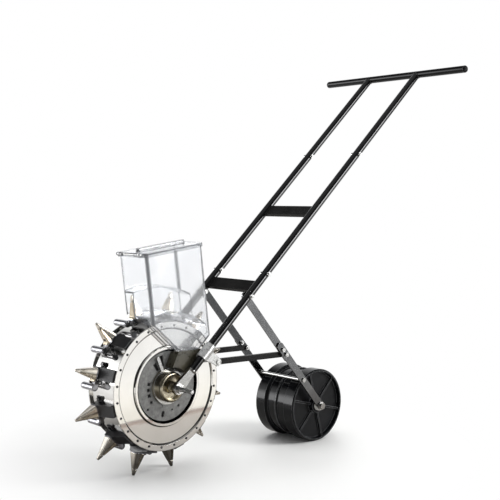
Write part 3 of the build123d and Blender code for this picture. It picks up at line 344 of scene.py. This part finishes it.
def clear_plastic(name, edge_colour, edge_through, shine, grip=0.0):
    """Clear moulded plastic: slightly milky, with painted shade darkening its thick edges and upright corners, lets
    lamp light through.
    """
    s = Shader(name)
    haze = s.noise(22.0, 4.0, 0.6, (1, 1, 0.4))
    # Painted shade: edges, upright corners and the grip's lines are mixed towards the dark edge colour and let less
    # light through.
    edge = s.math("MAXIMUM", s.edge_mask(1.0, 0.0036), s.corner())
    if grip:
        edge = s.math("MAXIMUM", edge, grip_lines(s, grip))
    body = s.tone(haze, (0.93, 0.935, 0.945), (0.975, 0.978, 0.983))
    s.set(Base_Color=s.mix(edge, body, edge_colour), Roughness=s.vary(haze, 0.05, 0.11),
          Transmission_Weight=s.span(edge, 0.96, edge_through), IOR=1.46, Specular_IOR_Level=shine)
    s.bump(s.noise(30.0, 3.0), 0.03, 0.0003, soften=0.0)
    depth = s.node("VolumeAbsorption", Color=(0.66, 0.70, 0.75), Density=11.0)
    put(s.tree, depth.outputs[0], s.end["Volume"])
    s.blend(s.node("LightPath").outputs["Is Shadow Ray"], s.node("BsdfTransparent", (0.93, 0.94, 0.95)))
    return s.material


def grey_plate():
    """Grey painted seed plate with fine speckle."""
    s = Shader("grey_plate")
    fine = s.math("MULTIPLY", s.noise(420.0, 4.0, 0.65), 0.45)
    speck = s.math("ADD", fine, s.math("MULTIPLY", s.noise(85.0, 4.0, 0.6), 0.55))
    s.set(Base_Color=s.tone(speck, (0.10, 0.10, 0.096), (0.235, 0.235, 0.225), 0.36, 0.64),
          Metallic=0.15, Roughness=s.vary(speck, 0.34, 0.5))
    s.bump(speck, 0.08, 0.0003)
    return s.material


def brass():
    """Turned brass hub with tool rings."""
    s = Shader("brass")
    rings = s.math("SINE", s.math("MULTIPLY", s.radius(AXLE), HUB_TURNING))
    cloud = s.noise(55.0, 4.0)
    s.set(Base_Color=s.tone(cloud, (0.36, 0.325, 0.24), (0.52, 0.475, 0.37)), Metallic=1.0,
          Roughness=s.span(s.math("ADD", cloud, s.math("MULTIPLY", rings, 0.2)), 0.16, 0.32, 0.2, 0.8))
    s.bump(rings, 0.05, 0.0001)
    return s.material


zinc = steel("zinc_steel", dark=(0.40, 0.40, 0.392), light=(0.55, 0.55, 0.537), rough=(0.14, 0.21), peel=0.004)
STRUT_GRAIN = {"rough": (0.13, 0.17), "grain": 90.0, "stretch": (1.6, 1.6, 0.25)}
NYLON_GRAIN = {"cloud": (70.0, 4.0), "rough": (0.4, 0.6), "grain": (600.0, 2.0), "relief": 0.05}

# Finish of each material slot
FINISH = {
    "black_paint": black_paint("black_paint", shine=0.6),
    "black_plastic": black_plastic(),
    "zinc_steel": zinc,
    "strut_steel": steel("strut_steel", dark=(0.135, 0.137, 0.14), light=(0.205, 0.208, 0.212), **STRUT_GRAIN),
    "polished_steel": polished_steel("polished_steel", NEAR_STEPS),
    "beak_steel": beak_steel("beak_steel", dark=(0.52, 0.45, 0.345), light=(0.68, 0.60, 0.475)),
    "black_cast": black_cast(),
    "clear_plastic": clear_plastic("clear_plastic", edge_colour=(0.05, 0.055, 0.066), edge_through=0.26, shine=0.5),
    "grey_plate": grey_plate(),
    "brass": brass(),
    "olive_plastic": plain("olive_plastic", dark=(0.030, 0.028, 0.020), light=(0.075, 0.068, 0.046),
                           cloud=(48.0, 4.0), rough=(0.22, 0.4), grain=(500.0, 3.0), relief=0.07),
    "hub_steel": steel("hub_steel", dark=(0.30, 0.30, 0.30), light=(0.46, 0.46, 0.45),
                       rough=(0.22, 0.4), grain=140.0, stretch=(1, 6, 1), peel=0.04),
    "nylon": plain("nylon", dark=(0.55, 0.54, 0.50), light=(0.68, 0.67, 0.63), **NYLON_GRAIN),
}

# Finish of nodes that differ from their slot
bar_paint = black_paint("bar_paint", shine=0.22)
satin_black = plain("satin_black", dark=(0.004, 0.004, 0.004), light=(0.011, 0.0105, 0.010),
                    cloud=(34.0, 4.0), rough=(0.30, 0.42), grain=(420.0, 3.0), relief=0.03, Specular_IOR_Level=0.14)
# Painted shade: the far struts are the same steel as the near ones, only darker.
strut_shaded = steel("strut_shaded", dark=(0.055, 0.056, 0.058), light=(0.085, 0.087, 0.089), **STRUT_GRAIN)
fresh_zinc = steel("fresh_zinc", dark=(0.56, 0.56, 0.55), light=(0.74, 0.74, 0.725), rough=(0.18, 0.27))
dull_zinc = steel("dull_zinc", dark=(0.50, 0.50, 0.49), light=(0.66, 0.66, 0.65), rough=(0.24, 0.34), metal=0.55)
clear_lid = clear_plastic("clear_lid", edge_colour=(0.022, 0.024, 0.029), edge_through=0.10, shine=0.4, grip=0.85)
beak_pale = beak_steel("beak_pale", dark=(0.80, 0.745, 0.655), light=(0.95, 0.895, 0.80))
screw_black = plain("screw_black", dark=(0.02, 0.02, 0.02), light=(0.07, 0.07, 0.07),
                    cloud=(700.0, 3.0), rough=(0.25, 0.45), grain=(700.0, 3.0), relief=0.1, Metallic=0.8)
dark_nylon = plain("dark_nylon", dark=(0.012, 0.012, 0.012), light=(0.03, 0.03, 0.029), **NYLON_GRAIN)
OWN = {name: finish for finish, names in (
    (bar_paint, ("handle_bar",)),
    (satin_black, ("upper_crossbar", "lower_crossbar", "link_bar_near", "link_bar_far")),
    (strut_shaded, ("upper_strut_far", "lower_strut_far")),
    (fresh_zinc, ("front_axle", "axle_nuts", "frame_bolts", "frame_nuts")),
    (dull_zinc, ("tube_clamp_near", "tube_clamp_far")),
    (clear_lid, ("hopper_lid",)),
    (polished_steel("polished_steel_far", FAR_STEPS), ("far_disc",)),
    (drum_steel(), ("drum_shell",)),
    (beak_pale, ("fixed_beaks",)),
    (screw_black, ("rim_screws",)),
    (dark_nylon, ("metering_wheel", "seed_divider")),
) for name in names}


def slot_of(name):
    """Material slot that the record gives a node."""
    for part in frame["record"]["subparts"]:
        if part.get("node", part.get("name")) == name:
            return part["material_slot"]
    return None


for name, obj in frame["nodes"].items():
    finish = OWN.get(name) or FINISH[slot_of(name)]
    obj.data.materials.clear()
    obj.data.materials.append(finish)


# Modelled detail

def piece(name, bm, finish, body):
    """Smooth-shaded mesh that rides on a body."""
    bmesh.ops.recalc_face_normals(bm, faces=bm.faces)
    mesh = bpy.data.meshes.new(name)
    bm.to_mesh(mesh)
    bm.free()
    mesh.polygons.foreach_set("use_smooth", [True] * len(mesh.polygons))
    mesh.materials.append(finish)
    obj = bpy.data.objects.new(name, mesh)
    scene.collection.objects.link(obj)
    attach(obj, body)


def skin(bm, rings, closed=False):
    """Faces between rings of points, with caps on an open run."""
    rows = [[bm.verts.new(point) for point in ring] for ring in rings]
    pairs = list(zip(rows, rows[1:])) + ([(rows[-1], rows[0])] if closed else [])
    for one, two in pairs:
        for i in range(len(one)):
            j = (i + 1) % len(one)
            bm.faces.new((one[i], one[j], two[j], two[i]))
    if not closed:
        bm.faces.new(rows[0])
        bm.faces.new(rows[-1])


def bead(bm, line, size, drops, closed=False):
    """Weld bead along (point, outward) pairs: a round ridge that swells with each drop of metal."""
    count, rings = len(line), []
    turn = [2 * pi * k / BEAD_SIDES for k in range(BEAD_SIDES)]
    for i, (point, out) in enumerate(line):
        ahead = line[(i + 1) % count][0] if closed else line[min(i + 1, count - 1)][0]
        behind = line[i - 1][0] if closed else line[max(i - 1, 0)][0]
        side = (ahead - behind).cross(out).normalized()
        swell = size * (BEAD_LOW + BEAD_SWELL * abs(sin(pi * drops * i / count)))
        rings.append([point + swell * (cos(a) * out + sin(a) * side) for a in turn])
    skin(bm, rings, closed)


def handle_weld(y):
    """Closed line where a frame tube meets the handle bar, both of one radius."""
    line = []
    for k in range(HANDLE_WELD_POINTS):
        a = 2 * pi * (k + 0.5) / HANDLE_WELD_POINTS
        out = cos(a) * ACROSS + sin(a) * UP
        line.append((HANDLE + y * ACROSS + TUBE_R * out - TUBE_R * abs(cos(a)) * ALONG, out))
    return line


def crossbar_weld(along, side):
    """Straight line where a crossbar's face meets a frame tube."""
    out = (UP - side * ACROSS).normalized()
    reach = TUBE_Y - sqrt(TUBE_R ** 2 - CROSSBAR_FACE ** 2)
    start = AXLE + side * reach * ACROSS + CROSSBAR_FACE * UP
    half = CROSSBAR_WELD_HALF
    steps = [along + CROSSBAR_HALF * (k / half - 1) for k in range(2 * half + 1)]
    return [(start + step * ALONG, out) for step in steps]


def thread(bm, radius, start, stop):
    """Screw thread on the front axle: one ridge wound along Y."""
    low, high, flank = radius - THREAD_HEIGHT, radius + THREAD_HEIGHT, THREAD_FLANK * THREAD_PITCH
    ridge = ((low, -flank), (high, 0.0), (low, flank))
    rings = []
    for k in range(int(THREAD_STEPS * (stop - start) / THREAD_PITCH) + 1):
        a, y = 2 * pi * k / THREAD_STEPS, start + THREAD_PITCH * k / THREAD_STEPS
        way = Vector((cos(a), 0.0, sin(a)))
        rings.append([AXLE + r * way + (y + dy) * ACROSS for r, dy in ridge])
    skin(bm, rings)


def driver_cross(bm, centre, angle, side):
    """Driver cross on a screw head, as a thin prism that stands just proud of it."""
    arm, half = CROSS_ARM, CROSS_HALF
    outline = ((arm, half), (half, half), (half, arm), (-half, arm), (-half, half), (-arm, half),
               (-arm, -half), (-half, -half), (-half, -arm), (half, -arm), (half, -half), (arm, -half))
    rings = []
    for depth in CROSS_DEPTHS:
        y = side * (SCREW_FACE + depth)
        rings.append([centre + Vector((x * cos(angle) - z * sin(angle), y, x * sin(angle) + z * cos(angle)))
                      for x, z in outline])
    skin(bm, rings)


welds = bmesh.new()
for side in (-1, 1):
    bead(welds, handle_weld(side * TUBE_Y), *HANDLE_BEAD, closed=True)
    for along in CROSSBARS:
        bead(welds, crossbar_weld(along, side), *CROSSBAR_BEAD)
piece("weld_beads", welds, FINISH["black_paint"], "frame")

axle_thread = bmesh.new()
for run in AXLE_THREADS:
    thread(axle_thread, *run)
piece("axle_thread", axle_thread, zinc, "frame")

crosses = bmesh.new()
for k in range(SCREW_COUNT):
    a = 2 * pi * (k + 0.5) / SCREW_COUNT
    for side in (-1, 1):
        driver_cross(crosses, AXLE + SCREW_CIRCLE * Vector((cos(a), 0.0, sin(a))), CROSS_TURN * k, side)
piece("screw_crosses", crosses, OWN["rim_screws"], "spiked_wheel")


# Stage

FLOOR_HALF, FLOOR_CELLS = 6.0, 8
# Where the floor runs out into white: its middle, and the radii for every ray and for the camera
FADE_CENTRE, FADE_ALL, FADE_SEEN = (-0.06, 0.07), (0.62, 1.35), (0.30, 0.64)
# Painted reflection that only mirrors see on the floor: its tones from near to far, and a painted shadow under the
# wheel
MIRROR_Y = (-0.60, 0.40)
MIRROR_TONES = ((0.062, (0.62, 0.592, 0.53)), (0.069, (0.08, 0.037, 0.016)), (0.104, (0.16, 0.085, 0.046)),
                (0.120, (0.27, 0.238, 0.205)), (0.42, (0.24, 0.22, 0.196)), (0.75, (0.72, 0.70, 0.67)))
WHEEL_SHADE, WHEEL_SHADE_R = (0.045, 0.041, 0.037), (0.13, 0.36)


def floor_material():
    """Pale floor that keeps the shadow and runs out into white; mirrors see a painted reflection in darker tones,
    with a painted shadow under the wheel.
    """
    s = Shader("stage_floor")
    path = s.node("LightPath").outputs
    pale = s.tone(s.noise(1.5, 3.0), (0.88, 0.88, 0.865), (0.90, 0.90, 0.885))
    # Painted reflection: glossy rays see these tones and the painted shadow under the wheel instead of the pale
    # floor.
    tones = s.ramp(s.span(s.split()[1], 0.0, 1.0, *MIRROR_Y), *MIRROR_TONES)
    clear = s.span(s.radius_flat(AXLE.x), 0.0, 1.0, *WHEEL_SHADE_R)
    mirrored = s.mix(clear, WHEEL_SHADE, tones)
    s.set(Base_Color=s.mix(path["Is Glossy Ray"], pale, mirrored), Roughness=0.55, Specular_IOR_Level=0.25)
    far = s.radius_flat(*FADE_CENTRE)
    seen = s.math("MULTIPLY", s.span(far, 0.0, 1.0, *FADE_SEEN), path["Is Camera Ray"])
    s.blend(s.math("MAXIMUM", s.span(far, 0.0, 1.0, *FADE_ALL), seen), s.node("Emission", (1, 1, 1)))
    return s.material


ground = bmesh.new()
bmesh.ops.create_grid(ground, x_segments=FLOOR_CELLS, y_segments=FLOOR_CELLS, size=FLOOR_HALF)
floor_mesh = bpy.data.meshes.new("stage_floor")
ground.to_mesh(floor_mesh)
ground.free()
floor_mesh.materials.append(floor_material())
floor = bpy.data.objects.new("stage_floor", floor_mesh)
scene.collection.objects.link(floor)

# Studio that glossy and transmitted rays see: a dim room with soft boxes.
# Each box has its direction, the cosines where it starts and where it is full, and its strength.
ROOM = 0.05
SOFT_BOXES = (
    ((0.56, -0.815, 0.15), 0.977, 0.988, 10.0),    # bright panel in the near disc
    ((0.66, -0.74, 0.13), 0.93, 0.96, 1.2),        # wide panel round it
    ((0.68, 0.73, -0.06), 0.55, 0.80, 0.95),       # white behind the clear plastic
    ((0.0, 0.0, 1.0), 0.72, 0.90, 0.28),           # ceiling
    ((-0.70, 0.70, 0.16), 0.88, 0.97, 1.8),        # wide panel for the drum and the roller
    ((-0.69, 0.72, 0.06), 0.955, 0.992, 6.0),      # bright middle of it
)
world = bpy.data.worlds.new("studio")
scene.world = world
world.use_nodes = True
tree = world.node_tree
soft = tree.nodes["Background"]
put(tree, (0.97, 0.98, 1.0), soft.inputs["Color"])
put(tree, 0.36, soft.inputs["Strength"])
heading = add_node(tree, "TexCoord").outputs["Generated"]
studio = ROOM
for centre, start, full, strength in SOFT_BOXES:
    toward = add_node(tree, "VectorMath", heading, Vector(centre).normalized(), operation="DOT_PRODUCT")
    panel = add_node(tree, "MapRange", toward.outputs["Value"], start, full, 0.0, strength).outputs[0]
    studio = add_node(tree, "Math", studio, panel, operation="ADD").outputs[0]
mirror = add_node(tree, "Background", (0.985, 0.99, 1.0), studio)
white = add_node(tree, "Background", (1, 1, 1), 1.0)
path = add_node(tree, "LightPath").outputs
shine = add_node(tree, "Math", path["Is Glossy Ray"], path["Is Transmission Ray"], operation="MAXIMUM")
inner = add_node(tree, "MixShader", shine.outputs[0], soft.outputs[0], mirror.outputs[0]).outputs[0]
outer = add_node(tree, "MixShader", path["Is Camera Ray"], inner, white.outputs[0]).outputs[0]
tree.links.new(outer, tree.nodes["World Output"].inputs["Surface"])


def aimed(direction):
    """Turn that points a lamp or a camera along a direction."""
    return direction.to_track_quat("-Z", "Y").to_euler()


def lamp(name, place, target, size, power):
    """Square soft lamp that reflections don't show."""
    data = bpy.data.lights.new(name, "AREA")
    data.shape = "SQUARE"
    data.size = size
    data.energy = power
    obj = bpy.data.objects.new(name, data)
    obj.location = place
    obj.visible_glossy = False
    obj.rotation_euler = aimed(Vector(target) - Vector(place))
    scene.collection.objects.link(obj)


lamp("key", place=(1.25, -1.9, 1.9), target=(-0.1, 0.0, 0.1), size=1.0, power=46.0)
lamp("top", place=(0.2, 0.3, 3.0), target=(0.0, 0.0, 0.3), size=2.4, power=42.0)
lamp("back", place=(1.8, 2.2, 1.8), target=(0.0, 0.0, 0.4), size=1.4, power=24.0)

# Camera
camera = bpy.data.cameras.new("camera")
camera.lens = 66.734
camera.sensor_width = 36.0
view = bpy.data.objects.new("camera", camera)
view.location = (-1.6413, -1.7315, 0.6491)
turn, dip = radians(42.885), radians(-3.316)
view.rotation_euler = aimed(Vector((sin(turn) * cos(dip), cos(turn) * cos(dip), sin(dip))))
scene.collection.objects.link(view)
scene.camera = view
scene.view_settings.view_transform = "Standard"
